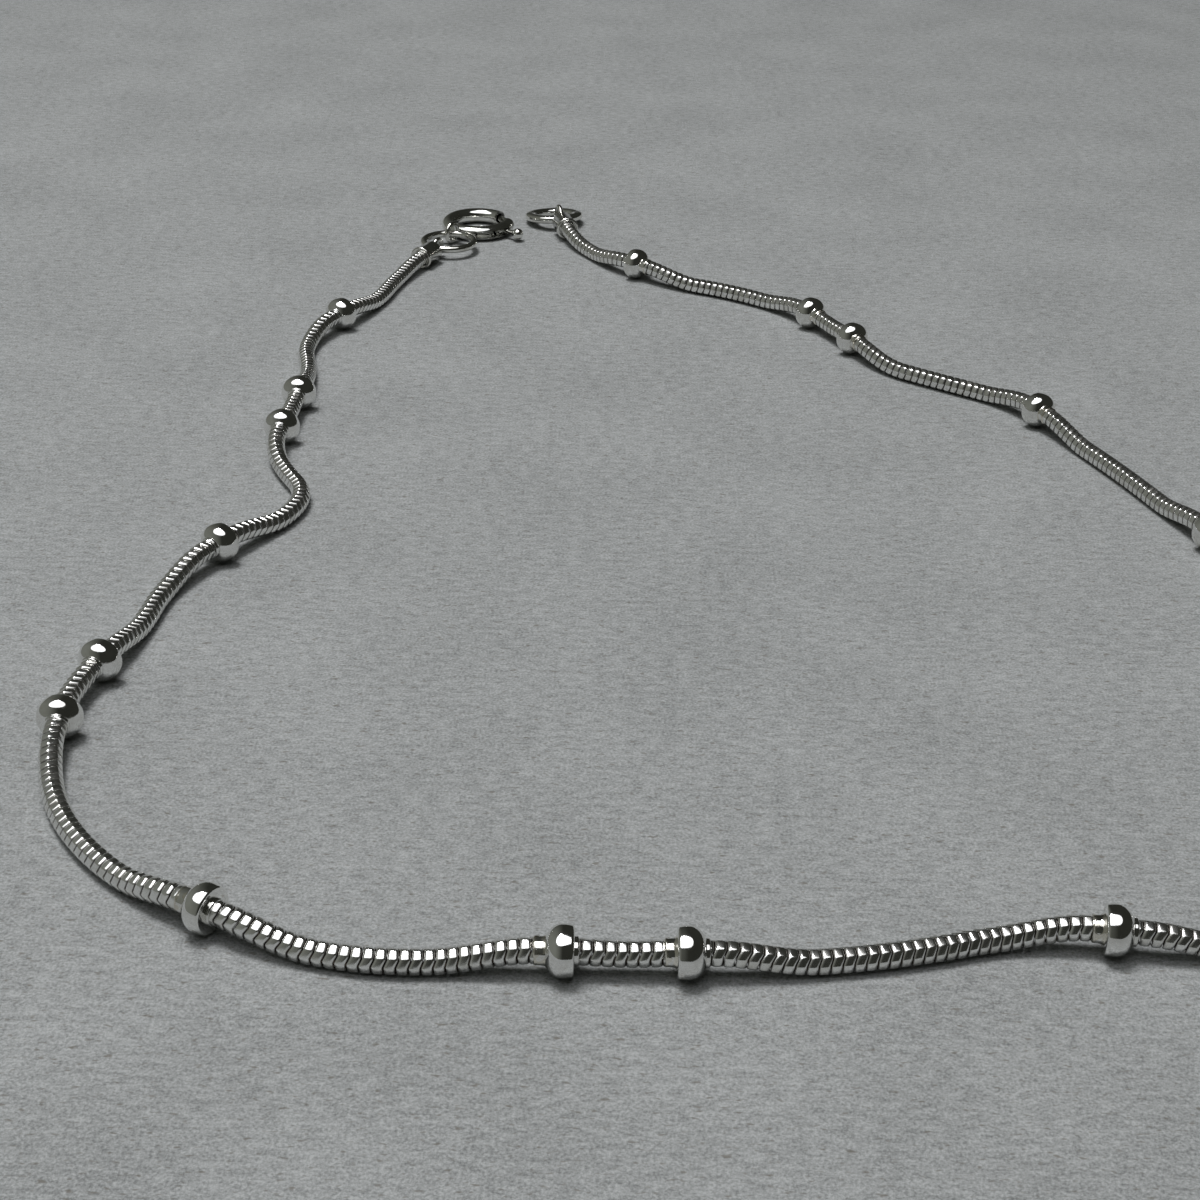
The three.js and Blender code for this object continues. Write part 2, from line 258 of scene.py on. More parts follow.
def make_light(name, place, aim, shape, sizes, power, colour):
    """An area light at a place, turned to face aim. Sizes in millimetres, power in watts."""
    light = bpy.data.objects.new(name, bpy.data.lights.new(name, "AREA"))
    bpy.context.scene.collection.objects.link(light)
    light.location = place
    light.rotation_euler = (aim - place).to_track_quat("-Z", "Y").to_euler()
    light.data.shape = shape
    light.data.size, light.data.size_y = [size * MM for size in sizes]
    light.data.energy = power
    light.data.color = linear(colour)[:3]
    return light


below_box = Vector((BOX_PLACE.x, BOX_PLACE.y, 0.0))
soft_box = make_light("soft_box", BOX_PLACE, below_box, "ELLIPSE", BOX_SIZE, 1.75, "FBFCFF")
lamp = make_light("lamp", LAMP_PLACE, LAMP_AIM, "DISK", LAMP_SIZE, 2.6, "FDFDFF")

room = bpy.data.worlds.new("dim_room")
bpy.context.scene.world = room
room.use_nodes = True
walls = room.node_tree
way = add_node(walls, "ShaderNodeTexCoord").outputs["Generated"]
parts = add_node(walls, "ShaderNodeSeparateXYZ", {"Vector": way})
leftness = add_node(
    walls,
    "ShaderNodeMapRange",
    {"Value": parts.outputs["X"], "From Min": 0.0, "From Max": LIGHTEST_WALL},
)
shade = add_node(walls, "ShaderNodeValToRGB", {"Fac": leftness.outputs["Result"]})
shade.color_ramp.elements[0].color = linear("2B2C28")
shade.color_ramp.elements[1].color = linear("70726C")
walls.links.new(shade.outputs["Color"], walls.nodes["Background"].inputs["Color"])
bpy.context.scene.view_settings.view_transform = "Standard"
print("soft box of", soft_box.data.energy, "W and lamp of", lamp.data.energy, "W")

# %% [markdown]
# ## The chain's line
# The chain lies as it fell, in a loop that wavers between its beads. It is described by a table: for
# each stretch, its length and the bends it is made of. The table's numbers came out of a separate
# fitting program, which also rounded them to quarter millimetres and whole degrees, so they were not
# chosen by hand and are no example to follow. Straights and arcs laid end to end then give a point
# and a heading at any length along the line.

# %% Straights and arcs, end to end
# Where the chain starts, in millimetres, and its heading there in degrees.
START = (-22.29, 35.64, -113.0)
CAP_SLEEVE = 1.7
HALF_SEAT = 1.0
# What stands at the end of a stretch, the stretch's length from middle to middle in millimetres, and
# the equal arcs it is made of, in degrees with left positive. Output of a fitting program.
ROUTE = [
    ("bead_01", 15.0, [13, -19]),
    ("bead_02", 14.25, [42, -16]),
    ("bead_03", 5.25, [0]),
    ("bead_04", 16.75, [26, 6, -40, -24, 4]),
    ("bead_05", 13.25, [27, -12]),
    ("bead_06", 5.25, [19]),
    ("bead_07", 17.25, [21, 19, 18]),
    ("bead_08", 14.5, [15, 18, -3]),
    ("bead_09", 5.0, [0]),
    ("bead_10", 17.0, [9, 8, -24]),
    ("bead_11", 15.25, [8, 17]),
    ("bead_12", 5.0, [29]),
    ("bead_13", 15.25, [33, 28]),
    ("bead_14", 15.25, [13, -2]),
    ("bead_15", 5.0, [-10]),
    ("bead_16", 17.75, [-1, 4, 2]),
    ("bead_17", 15.75, [31, -2, -31]),
    ("bead_18", 5.25, [8]),
    ("bead_19", 15.25, [22, 14, -17]),
    ("catch_end_cap", 11.25, [-20, 3, -18]),
]


def walk(place, length, turn):
    """From a place (x, y, heading) along an arc of a length in millimetres and a turn in degrees."""
    x, y, heading = place
    end = heading + turn
    if abs(turn) < 1e-6:
        step = (math.cos(math.radians(heading)), math.sin(math.radians(heading)))
        return (x + length * step[0], y + length * step[1], heading)
    radius = length / math.radians(turn)
    x += radius * (math.sin(math.radians(end)) - math.sin(math.radians(heading)))
    y += radius * (math.cos(math.radians(heading)) - math.cos(math.radians(end)))
    return (x, y, end)


def lay_out(route):
    """The line's pieces (along, place, length, turn), its stops (name, along, place) and its length."""
    pieces, stops = [], []
    along, place = 0.0, START
    for index, (name, run, turns) in enumerate(route):
        last = index == len(route) - 1
        before = CAP_SLEEVE if index == 0 else HALF_SEAT
        after = CAP_SLEEVE if last else HALF_SEAT
        arc = (run - before - after) / len(turns)
        steps = [(before, 0.0)] + [(arc, turn) for turn in turns] + [(after, 0.0)]
        for length, turn in steps:
            pieces.append((along, place, length, turn))
            place = walk(place, length, turn)
            along += length
        stops.append((name, along, place))
    return pieces, stops, along


line_pieces, stops, chain_length = lay_out(ROUTE)
bead_stops = stops[:-1]
print("chain", round(chain_length, 2), "mm long, with", len(bead_stops), "beads")

# %% [markdown]
# A bead stands on its rim, so it holds the chain up off the card. The chain therefore rises to each
# bead, stays up between the two beads of a pair, and sinks back to the card on the long runs.

# %% How high the chain is at each place
CHAIN_RADIUS = 0.52
BEAD_RADIUS = 1.05
CLIMB_LENGTH = 4.0
PAIR_SAG = 0.1
SHORT_RUN = 8.0
CLASP_EYE_HEIGHT = 0.8
CATCH_EYE_HEIGHT = 0.99
SEATS = [
    (CAP_SLEEVE - HALF_SEAT, CLASP_EYE_HEIGHT),
    *[(along, BEAD_RADIUS) for _, along, _ in bead_stops],
    (chain_length - CAP_SLEEVE + HALF_SEAT, CATCH_EYE_HEIGHT),
]


def height_at(along):
    """The chain's middle above the card, in millimetres."""
    after = next((seat for seat in SEATS if seat[0] >= along), SEATS[-1])
    before = next((seat for seat in reversed(SEATS) if seat[0] < along), after)
    run = after[0] - before[0]
    if 0 < run < SHORT_RUN:
        return BEAD_RADIUS - PAIR_SAG * math.sin(math.pi * (along - before[0]) / run) ** 2
    nearer = before if along - before[0] < after[0] - along else after
    gone = min(max((abs(along - nearer[0]) - HALF_SEAT) / CLIMB_LENGTH, 0.0), 1.0)
    eased = gone * gone * (3 - 2 * gone)
    return nearer[1] + (CHAIN_RADIUS - nearer[1]) * eased


def place_at(along):
    """The point on the chain's line, in millimetres, and its heading in degrees."""
    start, place, _, turn = [p for p in line_pieces if p[0] <= along + 1e-9][-1]
    length = next(p[2] for p in line_pieces if p[0] == start)
    x, y, heading = walk(place, along - start, turn * (along - start) / length)
    return Vector((x, y, height_at(along))), heading


print("first bead at", place_at(bead_stops[0][1])[0][:])

# %% [markdown]
# ## Silver
# The whole anklet is sterling silver, but no two of its parts are finished alike. The beads are
# turned and polished to a mirror, the links are rolled from wire and only tumbled bright, with dark
# tarnish where cloths never reach and painted shade in the gaps between links, and the solder at each
# bead froze with a skin of its own.

# %% Polished silver, with the fine scratches of wear
SCRATCH_GAP = 0.12 * MM
SMEAR_SIZE = 0.9 * MM


# The colour for the recesses, 4A4238, is partly tarnish and partly painted shade for the gaps between
# links.
def silver(name, clean, dull, roughness, scratch_depth, hollow=None, tarnish_and_shade_colour="4A4238"):
    """Silver that wanders from clean to dull. hollow names an attribute, 1 where tarnish and painted
    shade sit.
    """
    material, tree = new_material(name)
    place = add_node(tree, "ShaderNodeTexCoord").outputs["Object"]
    smear = add_node(
        tree,
        "ShaderNodeTexNoise",
        {"Vector": place, "Scale": 1 / SMEAR_SIZE, "Detail": 4.0, "Roughness": 0.55},
    )
    scratch = add_node(
        tree,
        "ShaderNodeTexNoise",
        {"Vector": place, "Scale": 1 / SCRATCH_GAP, "Detail": 3.0, "Distortion": 1.5},
    )
    tone = add_node(tree, "ShaderNodeValToRGB", {"Fac": smear.outputs["Fac"]})
    tone.color_ramp.elements[0].position = 0.42
    tone.color_ramp.elements[0].color = linear(clean)
    tone.color_ramp.elements[1].position = 0.72
    tone.color_ramp.elements[1].color = linear(dull)
    gloss = add_node(
        tree,
        "ShaderNodeMapRange",
        {
            "Value": smear.outputs["Fac"],
            "From Min": 0.35,
            "From Max": 0.7,
            "To Min": roughness * 0.7,
            "To Max": roughness * 1.5,
        },
    )
    colour, rough = tone.outputs["Color"], gloss.outputs["Result"]
    # The recesses are mixed towards a dark colour: tarnish, and painted shade where the gaps between
    # links fall dark.
    if hollow:
        depth = add_node(tree, "ShaderNodeAttribute", attribute_name=hollow)
        mix = add_node(
            tree,
            "ShaderNodeMix",
            {0: depth.outputs["Fac"], 6: colour, 7: linear(tarnish_and_shade_colour)},
            data_type="RGBA",
        )
        mask = add_node(
            tree,
            "ShaderNodeMapRange",
            {"Value": depth.outputs["Fac"], "To Min": 0.0, "To Max": 0.35},
        )
        add = add_node(
            tree, "ShaderNodeMath", {0: rough, 1: mask.outputs["Result"]}, operation="ADD"
        )
        colour, rough = mix.outputs[2], add.outputs[0]
    relief = add_node(
        tree,
        "ShaderNodeBump",
        {"Height": scratch.outputs["Fac"], "Distance": scratch_depth, "Strength": 0.6},
    )
    surface = add_node(
        tree,
        "ShaderNodeBsdfPrincipled",
        {"Base Color": colour, "Roughness": rough, "Normal": relief.outputs["Normal"]},
    )
    surface.inputs["Metallic"].default_value = 1.0
    add_node(tree, "ShaderNodeOutputMaterial", {"Surface": surface.outputs["BSDF"]})
    return material


bead_silver = silver("sterling_silver_polished", "EEEEEC", "D9D8D3", 0.07, 0.0008 * MM)
# The links' recesses take the dark colour, which is tarnish and painted shade together.
link_silver = silver(
    "sterling_silver_rolled_links", "EFEFED", "D8D7D1", 0.18, 0.0012 * MM, hollow="recess_tarnish_and_shade"
)
solder_silver = silver("silver_solder_frozen", "E6E3DA", "C9C4B6", 0.16, 0.006 * MM)
clasp_silver = silver("sterling_silver_drawn_clasp", "E4E4E0", "C6C4BC", 0.12, 0.0015 * MM)
print("materials:", len(bpy.data.materials))

# %% [markdown]
# ## One link
# A snake chain is a row of little waved bands, each nested into the next, so that from outside it
# looks like scales. One band is a short eight-sided ring whose corners step forwards and back. Its
# outline is a low crown, lathed with Spin, so that each facet of each link catches one small light,
# and its two rims drop into the gaps where the next bands sit. A ring with a bevel modifier would
# give the same crown with many more faces.

# %% A waved band with eight facets
LINK_PITCH = 0.463
FACETS = 8
CORNER_HALF = 5.5
WAVE = 0.06
CRESTS = (0, 3, 4, 7)
RECESS_REACH = 0.5
BAND_ROWS = [
    (-0.212, 0.455),
    (-0.172, 0.508),
    (-0.085, 0.526),
    (0.085, 0.526),
    (0.172, 0.508),
    (0.212, 0.455),
]


def make_link():
    """One band round the X axis as a closed ring, drawn in metres for millimetres."""
    outline = [Vector((x, 0, r)) for x, r in BAND_ROWS]
    mesh = bpy.data.meshes.new("snake_links")
    count = len(outline)
    mesh.from_pydata(outline, [(k, (k + 1) % count) for k in range(count)], [])
    link = bpy.data.objects.new("snake_links", mesh)
    bpy.context.scene.collection.objects.link(link)
    select_only(link)
    bpy.ops.object.mode_set(mode="EDIT")
    bpy.ops.mesh.select_all(action="SELECT")
    bpy.ops.mesh.spin(steps=2 * FACETS, angle=2 * math.pi, center=(0, 0, 0), axis=(1, 0, 0))
    bpy.ops.mesh.select_all(action="SELECT")
    bpy.ops.mesh.remove_doubles(threshold=0.001)
    bpy.ops.mesh.normals_make_consistent(inside=False)
    bpy.ops.object.mode_set(mode="OBJECT")
    bpy.ops.object.shade_smooth()
    return link


links = make_link()
# 1 on the recessed corners of each link, which the links' silver paints dark as tarnish and painted
# shade; the same mask keeps those edges sharp.
recess_tarnish_and_shade = links.data.attributes.new("recess_tarnish_and_shade", "FLOAT", "POINT")
for vertex in links.data.vertices:
    reach = math.hypot(vertex.co.y, vertex.co.z)
    step = round(math.degrees(math.atan2(vertex.co.y, vertex.co.z)) * 2 * FACETS / 360)
    corner = (step % (2 * FACETS)) // 2
    angle = math.radians(corner * 360 / FACETS + (CORNER_HALF if step % 2 else -CORNER_HALF))
    recess_tarnish_and_shade.data[vertex.index].value = 1.0 if reach < RECESS_REACH else 0.0
    shift = 0.5 * LINK_PITCH + (WAVE if corner in CRESTS else -WAVE)
    vertex.co = (vertex.co.x + shift, reach * math.sin(angle), reach * math.cos(angle))
for edge in links.data.edges:
    edge.use_edge_sharp = min(recess_tarnish_and_shade.data[k].value for k in edge.vertices) > 0.5

# The modifier passes over faces as small as a real link's, so it runs before the link is made small.
even = links.modifiers.new("even", "WEIGHTED_NORMAL")
even.mode = "FACE_AREA"
even.keep_sharp = True
even.thresh = 0.0
bpy.ops.object.modifier_apply(modifier="even")
links.data.transform(Matrix.Scale(MM, 4))
print("one link:", len(links.data.vertices), "corners,", len(links.data.polygons), "faces")

# %% [markdown]
# ## The chain
# Hundreds of links are one Array, and a Curve modifier lays the row along the chain's line. The
# line's upright is world Z, and a slow twist along it keeps the facets from lining up all the way
# round, as on a chain that has been worn and laid down.

# %% The row of links laid along the line
LINE_STEP = 0.4
# Degrees by which the facets are turned where each stretch starts and where it ends.
FACET_TURNS = {
    "bead_07": (7.0, 3.0),
    "bead_08": (1.0, -1.0),
    "bead_09": (-1.0, -1.0),
    "bead_10": (-13.0, -2.0),
    "bead_11": (-6.0, 0.0),
}


def facet_turn(along):
    """How far the links are turned about the chain's line there, in degrees."""
    before = 0.0
    for name, end, _ in stops:
        if along <= end:
            first, last = FACET_TURNS.get(name, (5.0, 10.0))
            return first + (last - first) * (along - before) / (end - before)
        before = end
    return 0.0


def make_chain_line():
    """The chain's line as a curve, tilted at each point by the turn of the facets there."""
    data = bpy.data.curves.new("chain_line", "CURVE")
    data.dimensions = "3D"
    data.twist_mode = "Z_UP"
    spline = data.splines.new("POLY")
    count = round(chain_length / LINE_STEP)
    spline.points.add(count)
    for k, point in enumerate(spline.points):
        along = chain_length * k / count
        place, _ = place_at(along)
        point.co = (*(place * MM), 1.0)
        point.tilt = math.radians(facet_turn(along))
    line = bpy.data.objects.new("chain_line", data)
    bpy.context.scene.collection.objects.link(line)
    return line


chain_line = make_chain_line()
points = [Vector(p.co[:3]) for p in chain_line.data.splines[0].points]
true_length = sum((b - a).length for a, b in zip(points, points[1:]))
link_count = round(true_length / (LINK_PITCH * MM))
row = links.modifiers.new("row", "ARRAY")
row.fit_type = "FIXED_COUNT"
row.count = link_count
row.use_relative_offset = False
row.use_constant_offset = True
row.constant_offset_displace = (true_length / link_count, 0, 0)
bend = links.modifiers.new("bend", "CURVE")
bend.object = chain_line
bend.deform_axis = "POS_X"
select_only(links)
bpy.ops.object.modifier_apply(modifier="row")
bpy.ops.object.modifier_apply(modifier="bend")
bpy.data.objects.remove(chain_line)
links.data.materials.append(link_silver)
print(link_count, "links,", 2 * len(links.data.polygons), "triangles")
print("the line is", round(true_length / MM, 2), "mm long")

# %% [markdown]
# ## Turned pieces
# Beads, end caps and the lug's knob are all turned on a lathe. The same is done here: half the
# outline is drawn as a row of points and spun round the X axis.

# %% A lathe
WELD = 0.0005 * MM
CREASE = 40.0


def turn(name, profile, steps, material, crease=CREASE):
    """A solid turned about X from points (along, radius) in millimetres.

    A profile that ends where it starts makes a ring.
    """
    ring = profile[0] == profile[-1]
    rows = profile[:-1] if ring else profile
    corners = [Vector((x, 0, r)) * MM for x, r in rows]
    edges = [(k, k + 1) for k in range(len(rows) - 1)] + ([(len(rows) - 1, 0)] if ring else [])
    mesh = bpy.data.meshes.new(name)
    mesh.from_pydata(corners, edges, [])
    piece = bpy.data.objects.new(name, mesh)
    bpy.context.scene.collection.objects.link(piece)
    select_only(piece)
    bpy.ops.object.mode_set(mode="EDIT")
    bpy.ops.mesh.select_all(action="SELECT")
    bpy.ops.mesh.spin(steps=steps, angle=2 * math.pi, center=(0, 0, 0), axis=(1, 0, 0))
    bpy.ops.mesh.select_all(action="SELECT")
    bpy.ops.mesh.remove_doubles(threshold=WELD)
    bpy.ops.mesh.normals_make_consistent(inside=False)
    bpy.ops.object.mode_set(mode="OBJECT")
    bpy.ops.object.shade_smooth_by_angle(angle=math.radians(crease))
    mesh.materials.append(material)
    return piece


def quarter(centre, size, start, end, count):
    """Points on an ellipse about centre (along, radius), from start to end degrees."""
    angles = [math.radians(start + (end - start) * k / count) for k in range(count + 1)]
    return [(centre[0] + size[0] * math.cos(a), centre[1] + size[1] * math.sin(a)) for a in angles]


def move(piece, place, heading=0.0, lean=0.0, roll=0.0):
    """Bakes a place in millimetres, a heading, a lean and a roll in degrees into the piece's mesh."""
    turnings = (
        Matrix.Rotation(math.radians(heading), 4, "Z")
        @ Matrix.Rotation(math.radians(lean), 4, "Y")
        @ Matrix.Rotation(math.radians(roll), 4, "X")
    )
    piece.data.transform(Matrix.Translation(Vector(place) * MM) @ turnings)
    piece.data.update()
    return piece


def join(name, *pieces):
    """Joins the pieces into the first one, under this name."""
    select_only(*pieces)
    bpy.ops.object.join()
    bpy.context.object.name = name
    return bpy.context.object


# %% [markdown]
# ## The beads
# A rondelle has two unlike sides: one is a deep dome, the other almost flat with a crisp rim, and
# its belly is its widest place. It is soldered to a short sleeve that grips the chain. Solder ran out
# of the joint on one side and froze in lumps; on the other the sleeve stays smooth. Beads were
# threaded without minding which way the dome looks, so some look back along the chain and others
# look on, and there are two patterns, mirror images but for the sleeve.

# %% One rondelle with its sleeve and its solder
BORE_RADIUS = 0.55
BELLY = 0.09
DOME = (0.79, BEAD_RADIUS)
BACK = (1.3, BEAD_RADIUS)
FLAT_FACE = 0.54
RIM = 0.93
RIM_ROUND = 0.13
BEAD_CREASE = 50.0
SOLDER_END = -0.94
SOLDER_ROUND = 0.1
LUMP_SIZE = 0.22 * MM
LUMP_HEIGHT = 0.1 * MM


def make_rondelle_body(domed):
    """The bead without its sleeve. domed says that its dome looks back along the chain."""
    dome = quarter((BELLY, 0.0), DOME, 148, 90, 16)
    back = quarter((BELLY, 0.0), BACK, 90, 76, 4)[1:]
    rim = quarter((FLAT_FACE - RIM_ROUND, RIM - 0.04), (RIM_ROUND, RIM_ROUND), 66, 0, 7)
    outline = [*dome, *back, *rim, (FLAT_FACE, BORE_RADIUS), (dome[0][0], BORE_RADIUS), dome[0]]
    if not domed:
        outline = [(-x, r) for x, r in outline]
    return turn("rondelle", outline, 48, bead_silver, BEAD_CREASE)


def make_solder(reach):
    """The lumpy skin of solder on the sleeve's clasp side, from its frozen edge up to reach."""
    outside = quarter((SOLDER_END, 0.46), (SOLDER_ROUND, SOLDER_ROUND), 180, 95, 4)
    profile = [
        *outside,
        (-0.8, 0.555),
        (-0.68, 0.56),
        (reach - 0.12, 0.59),
        (reach, 0.66),
        (reach, 0.46),
        outside[0],
    ]
    skin = turn("solder", profile, 28, solder_silver)
    lumps = bpy.data.textures.new("solder_lumps", "CLOUDS")
    lumps.noise_scale = LUMP_SIZE
    swell = skin.modifiers.new("swell", "DISPLACE")
    swell.texture = lumps
    swell.texture_coords = "LOCAL"
    swell.strength = LUMP_HEIGHT
    swell.mid_level = 0.5
    select_only(skin)
    bpy.ops.object.modifier_apply(modifier="swell")
    bpy.ops.object.shade_smooth()
    return skin


def make_sleeve():
    """The smooth sleeve that grips the chain, with its rolled lip."""
    lip = quarter((0.66, 0.51), (0.07, 0.07), 90, 0, 5)
    profile = [(-0.9, 0.45), (-0.9, 0.55), (-0.5, 0.58), *lip, (0.73, 0.45), (-0.9, 0.45)]
    return turn("sleeve", profile, 32, bead_silver)


patterns = {}
for domed in (True, False):
    reach = -0.42 if domed else -0.5
    pieces = (make_rondelle_body(domed), make_solder(reach), make_sleeve())
    patterns[domed] = join("rondelle", *pieces)
    triangles = sum(len(face.vertices) - 2 for face in patterns[domed].data.polygons)
    print("one rondelle:", triangles, "triangles")

# %% Nineteen copies, each turned about the chain by a random angle
DOMED_BACK = {7, 8, *range(12, 20)}
lathe_marks = random.Random(7)
rondelles = []
for number, (name, along, (x, y, heading)) in enumerate(bead_stops, 1):
    pattern = patterns[number in DOMED_BACK]
    rondelle = bpy.data.objects.new("rondelle_" + name[-2:], pattern.data.copy())
    bpy.context.scene.collection.objects.link(rondelle)
    move(rondelle, (x, y, BEAD_RADIUS), heading, 0.0, lathe_marks.uniform(0, 360))
    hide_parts(name)
    rondelles.append(rondelle)
for pattern in patterns.values():
    bpy.data.objects.remove(pattern)
print(len(rondelles), "rondelles")

# %% [markdown]
# ## Bent wire and tube
# Rings, eyes and the clasp's hollow body are wire or tube bent round a former. A circle is drawn
# where the wire starts, filled or given a bore, and spun round the Z axis through the bend.

# %% A wire bender
# Spin turns clockwise about its axis, so an axis that points down turns anticlockwise seen from above.
SPIN_AXIS = (0, 0, -1)


def bend_wire(name, ring_radius, wire_radius, start, end, steps, material, sides=20, bore=0.0):
    """Wire bent round Z between two angles in degrees. Sizes in millimetres. A bore makes a tube."""
    select_none()
    bpy.ops.mesh.primitive_circle_add(
        vertices=sides,
        radius=wire_radius * MM,
        fill_type="NOTHING" if bore else "NGON",
        location=(ring_radius * MM, 0, 0),
        rotation=(math.pi / 2, 0, 0),
    )
    wire = bpy.context.object
    wire.name = name
    bpy.ops.object.transform_apply(location=True, rotation=True, scale=True)
    bpy.ops.object.mode_set(mode="EDIT")
    if bore:
        bpy.ops.mesh.select_all(action="DESELECT")
        bpy.ops.mesh.primitive_circle_add(
            vertices=sides,
            radius=bore * MM,
            location=(ring_radius * MM, 0, 0),
            rotation=(math.pi / 2, 0, 0),
        )
        bpy.ops.mesh.select_all(action="SELECT")
        bpy.ops.mesh.bridge_edge_loops()
    bpy.ops.object.mode_set(mode="OBJECT")
    wire.data.transform(Matrix.Rotation(math.radians(start), 4, "Z"))
    bpy.ops.object.mode_set(mode="EDIT")
    bpy.ops.mesh.select_all(action="SELECT")
    bpy.ops.mesh.spin(
        steps=steps, angle=math.radians(end - start), center=(0, 0, 0), axis=SPIN_AXIS
    )
    bpy.ops.mesh.select_all(action="SELECT")
    bpy.ops.mesh.remove_doubles(threshold=WELD)
    bpy.ops.mesh.normals_make_consistent(inside=False)
    bpy.ops.object.mode_set(mode="OBJECT")
    bpy.ops.object.shade_smooth_by_angle(angle=math.radians(CREASE))
    wire.data.materials.append(material)
    return wire


# %% [markdown]
# ## End caps
# Each end of the chain is glued and pinched into a ferrule, a little cup with a rolled lip, and an
# upright eye of wire is soldered to its closed end.

# %% Two end caps with their eyes
CAP_RADIUS = 0.78
CAP_END = 0.45
CAP_BORE = 0.53
EYE_WIRE = 0.19
EYE_SIDES = 14
CLASP_EYE = (0.61, 0.95)
CATCH_EYE = (0.8, 1.12)


def make_cap(name, eye_radius, eye_reach):
    """A ferrule with an upright eye of this radius, whose middle is this far out from the cap."""
    lip = quarter((-CAP_SLEEVE + 0.12, CAP_RADIUS - 0.08), (0.12, 0.12), 200, 60, 5)
    closed_end = quarter((CAP_END - 0.32, 0.36), (0.32, 0.4), 82, 0, 6)
    profile = [
        (0.0, 0.0),
        (0.0, CAP_BORE),
        (-CAP_SLEEVE + 0.05, CAP_BORE),
        *lip,
        (-CAP_SLEEVE + 0.32, CAP_RADIUS - 0.03),
        *closed_end,
        (CAP_END, 0.0),
    ]
    cup = turn(name, profile, 32, clasp_silver)
    eye = bend_wire("eye", eye_radius, EYE_WIRE, 0.0, 360.0, 32, clasp_silver, sides=EYE_SIDES)
    eye.data.transform(Matrix.Rotation(math.pi / 2, 4, "X"))
    eye.data.transform(Matrix.Translation((eye_reach * MM, 0, 0)))
    return join(name, cup, eye)


clasp_x, clasp_y, clasp_heading = START
clasp_way = clasp_heading + 180.0
catch_x, catch_y, catch_way = stops[-1][2]
clasp_cap = move(
    make_cap("clasp_cap", *CLASP_EYE), (clasp_x, clasp_y, CLASP_EYE_HEIGHT), clasp_way
)
catch_cap = move(
    make_cap("catch_cap", *CATCH_EYE), (catch_x, catch_y, CATCH_EYE_HEIGHT), catch_way
)
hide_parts("clasp_end_cap")
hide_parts("catch_end_cap")
print("caps at", (clasp_x, clasp_y), (round(catch_x, 2), round(catch_y, 2)))

# %% [markdown]
# ## Jump ring
# A jump ring is one turn of drawn wire, sawn through, so it keeps a hairline seam where its ends
# meet. It lies flat and links the end cap's eye to the clasp's.

# %% The jump ring
JUMP_RADIUS = 1.85
JUMP_WIRE = 0.26
JUMP_HEIGHT = 0.74
SEAM_WIDTH = 1.0
SEAM_PLACE = 150.0


def onward(place, distance, degrees):
    """The point at a distance from a place, in a direction given in degrees."""
    angle = math.radians(degrees)
    return (place[0] + distance * math.cos(angle), place[1] + distance * math.sin(angle))


clasp_eye = onward((clasp_x, clasp_y), CLASP_EYE[1], clasp_way)
jump_middle = onward(clasp_eye, JUMP_RADIUS, clasp_way)
jump_ring = bend_wire(
    "jump_ring", JUMP_RADIUS, JUMP_WIRE, SEAM_WIDTH, 360.0, 56, clasp_silver
)
move(jump_ring, (*jump_middle, JUMP_HEIGHT), SEAM_PLACE)
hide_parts("clasp_jump_ring")
print("jump ring at", [round(c, 2) for c in jump_middle])

# %% [markdown]
# ## Spring ring
# The clasp's body is silver tube bent into a ring and left open at its mouth. A slot is milled in
# its outer side, and the lug slides along it. A small upright eye on its rim takes the jump ring.

# %% The hollow ring with its slot
SPRING_RADIUS = 2.2
SPRING_TUBE = 0.55
SPRING_HEIGHT = 0.55
SPRING_BORE = 0.36
SPRING_SWING = 20.0
SPRING_EYE_ANGLE = -120.0
SPRING_EYE_REACH = 3.5
MOUTH = (0.0, 46.0)
SLOT = (-91.0, -26.0)
SLOT_DEPTH = 0.8
SLOT_WIDTH = 0.5

spring_eye = onward(jump_middle, JUMP_RADIUS, clasp_way + SPRING_SWING)
spring_middle = onward(spring_eye, SPRING_EYE_REACH, SPRING_EYE_ANGLE + 180.0)
spring_place = (*spring_middle, SPRING_HEIGHT)
spring_ring = bend_wire(
    "spring_ring_tube",
    SPRING_RADIUS,
    SPRING_TUBE,
    MOUTH[1],
    MOUTH[0] + 360.0,
    84,
    clasp_silver,
    sides=28,
    bore=SPRING_BORE,
)
select_none()
bpy.ops.mesh.primitive_plane_add(size=1.0, rotation=(math.pi / 2, 0, 0))
cutter = bpy.context.object
bpy.ops.transform.resize(value=(SLOT_DEPTH * MM, 1.0, SLOT_WIDTH * MM))
bpy.ops.object.transform_apply(location=True, rotation=True, scale=True)
cutter.data.transform(Matrix.Translation(((SPRING_RADIUS + SPRING_TUBE) * MM, 0, 0)))
cutter.data.transform(Matrix.Rotation(math.radians(SLOT[0]), 4, "Z"))
bpy.ops.object.mode_set(mode="EDIT")
bpy.ops.mesh.select_all(action="SELECT")
slot_arc = math.radians(SLOT[1] - SLOT[0])
bpy.ops.mesh.spin(steps=24, angle=slot_arc, center=(0, 0, 0), axis=SPIN_AXIS)
bpy.ops.mesh.select_all(action="SELECT")
bpy.ops.mesh.normals_make_consistent(inside=False)
bpy.ops.object.mode_set(mode="OBJECT")
mill = spring_ring.modifiers.new("mill", "BOOLEAN")
mill.operation = "DIFFERENCE"
mill.solver = "EXACT"
mill.object = cutter
select_only(spring_ring)
bpy.ops.object.modifier_apply(modifier="mill")
bpy.data.objects.remove(cutter)
bpy.ops.object.shade_smooth_by_angle(angle=math.radians(CREASE))
print("spring ring:", len(spring_ring.data.polygons), "faces after the slot is milled")

# %% The eye on its rim
RIM_EYE_RADIUS = 0.66
RIM_EYE_LIFT = 0.3

